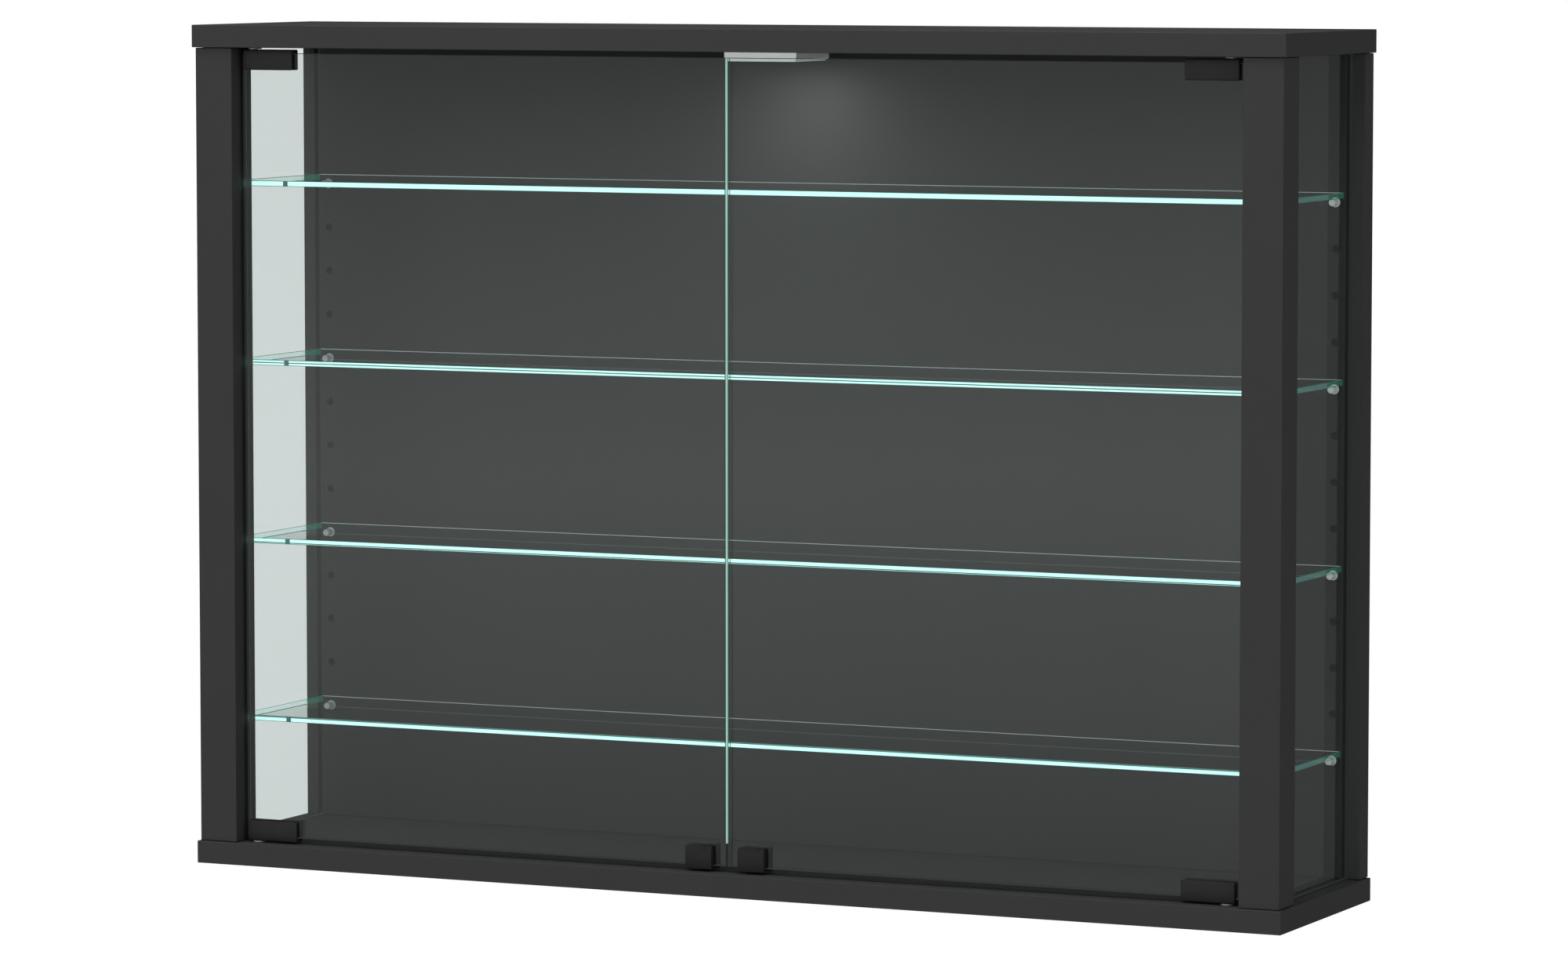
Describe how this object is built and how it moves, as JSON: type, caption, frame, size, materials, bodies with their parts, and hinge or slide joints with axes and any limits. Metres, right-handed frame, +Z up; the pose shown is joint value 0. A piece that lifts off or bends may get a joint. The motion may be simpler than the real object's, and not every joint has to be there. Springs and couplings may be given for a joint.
{
  "type": "wall mounted showcase",
  "caption": "Shallow wall cabinet of black board with glass sides, glass shelves on pins, paired clip-hinged glass doors and a flat lamp under the top.",
  "frame": {"origin": "centre of the back face, on the wall", "axes": "+Z up, -Y out of the wall towards the viewer, +X along the width, to the viewer's right"},
  "size_m": [0.828, 0.176, 0.6],
  "materials": {
    "black_board": "matt black melamine foil on 16 mm board",
    "clear_glass": "clear float glass with a green edge",
    "shelf_glass": "clear float glass with ground, green-tinged edges",
    "black_metal": "satin black coated die-casting",
    "black_plastic": "satin black moulded plastic",
    "grey_nylon": "moulded nylon",
    "rubber": "soft black rubber",
    "nickel": "bright nickel plate",
    "steel": "zinc-plated steel",
    "beech": "plain beech dowel",
    "silver": "satin anodised",
    "opal": "opal diffuser",
    "white_board": "white circuit board"
  },
  "bodies": {
    "cabinet": {"top_panel": "black_board", "bottom_panel": "black_board", "back_panel": "black_board", "left_post": "black_board", "right_post": "black_board", "left_side_glass": "clear_glass", "right_side_glass": "clear_glass", "shelf_1": "shelf_glass", "shelf_1_front_left_pin": "nickel", "shelf_1_front_right_pin": "nickel", "shelf_1_rear_left_pin": "nickel", "shelf_1_rear_right_pin": "nickel", "shelf_2": "shelf_glass", "shelf_2_front_left_pin": "nickel", "shelf_2_front_right_pin": "nickel", "shelf_2_rear_left_pin": "nickel", "shelf_2_rear_right_pin": "nickel", "shelf_3": "shelf_glass", "shelf_3_front_left_pin": "nickel", "shelf_3_front_right_pin": "nickel", "shelf_3_rear_left_pin": "nickel", "shelf_3_rear_right_pin": "nickel", "shelf_4": "shelf_glass", "shelf_4_front_left_pin": "nickel", "shelf_4_front_right_pin": "nickel", "shelf_4_rear_left_pin": "nickel", "shelf_4_rear_right_pin": "nickel", "left_top_hinge_bush": "grey_nylon", "left_top_post_dowel": "beech", "left_bottom_hinge_bush": "grey_nylon", "left_bottom_post_dowel": "beech", "left_door_stop": "rubber", "left_wall_hanger": "steel", "right_top_hinge_bush": "grey_nylon", "right_top_post_dowel": "beech", "right_bottom_hinge_bush": "grey_nylon", "right_bottom_post_dowel": "beech", "right_door_stop": "rubber", "right_wall_hanger": "steel", "top_back_dowel": "beech", "bottom_back_dowel": "beech", "lamp_housing": "silver", "lamp_led_board": "white_board", "lamp_diffuser": "opal"},
    "left_door": {"left_door_glass": "clear_glass", "left_door_grip": "black_plastic", "left_top_hinge_clip": "black_metal", "left_top_hinge_pin": "steel", "left_top_hinge_screw": "steel", "left_bottom_hinge_clip": "black_metal", "left_bottom_hinge_pin": "steel", "left_bottom_hinge_screw": "steel"},
    "right_door": {"right_door_glass": "clear_glass", "right_door_grip": "black_plastic", "right_top_hinge_clip": "black_metal", "right_top_hinge_pin": "steel", "right_top_hinge_screw": "steel", "right_bottom_hinge_clip": "black_metal", "right_bottom_hinge_pin": "steel", "right_bottom_hinge_screw": "steel"}
  },
  "joints": [
    {"name": "left_door_hinge", "type": "hinge", "parent": "cabinet", "child": "left_door", "pos_m": [-0.3706, -0.1613, 0], "axis": [0, 0, -1], "range_deg": [0, 110]},
    {"name": "right_door_hinge", "type": "hinge", "parent": "cabinet", "child": "right_door", "pos_m": [0.3706, -0.1613, 0], "axis": [0, 0, 1], "range_deg": [0, 110]}
  ]
}
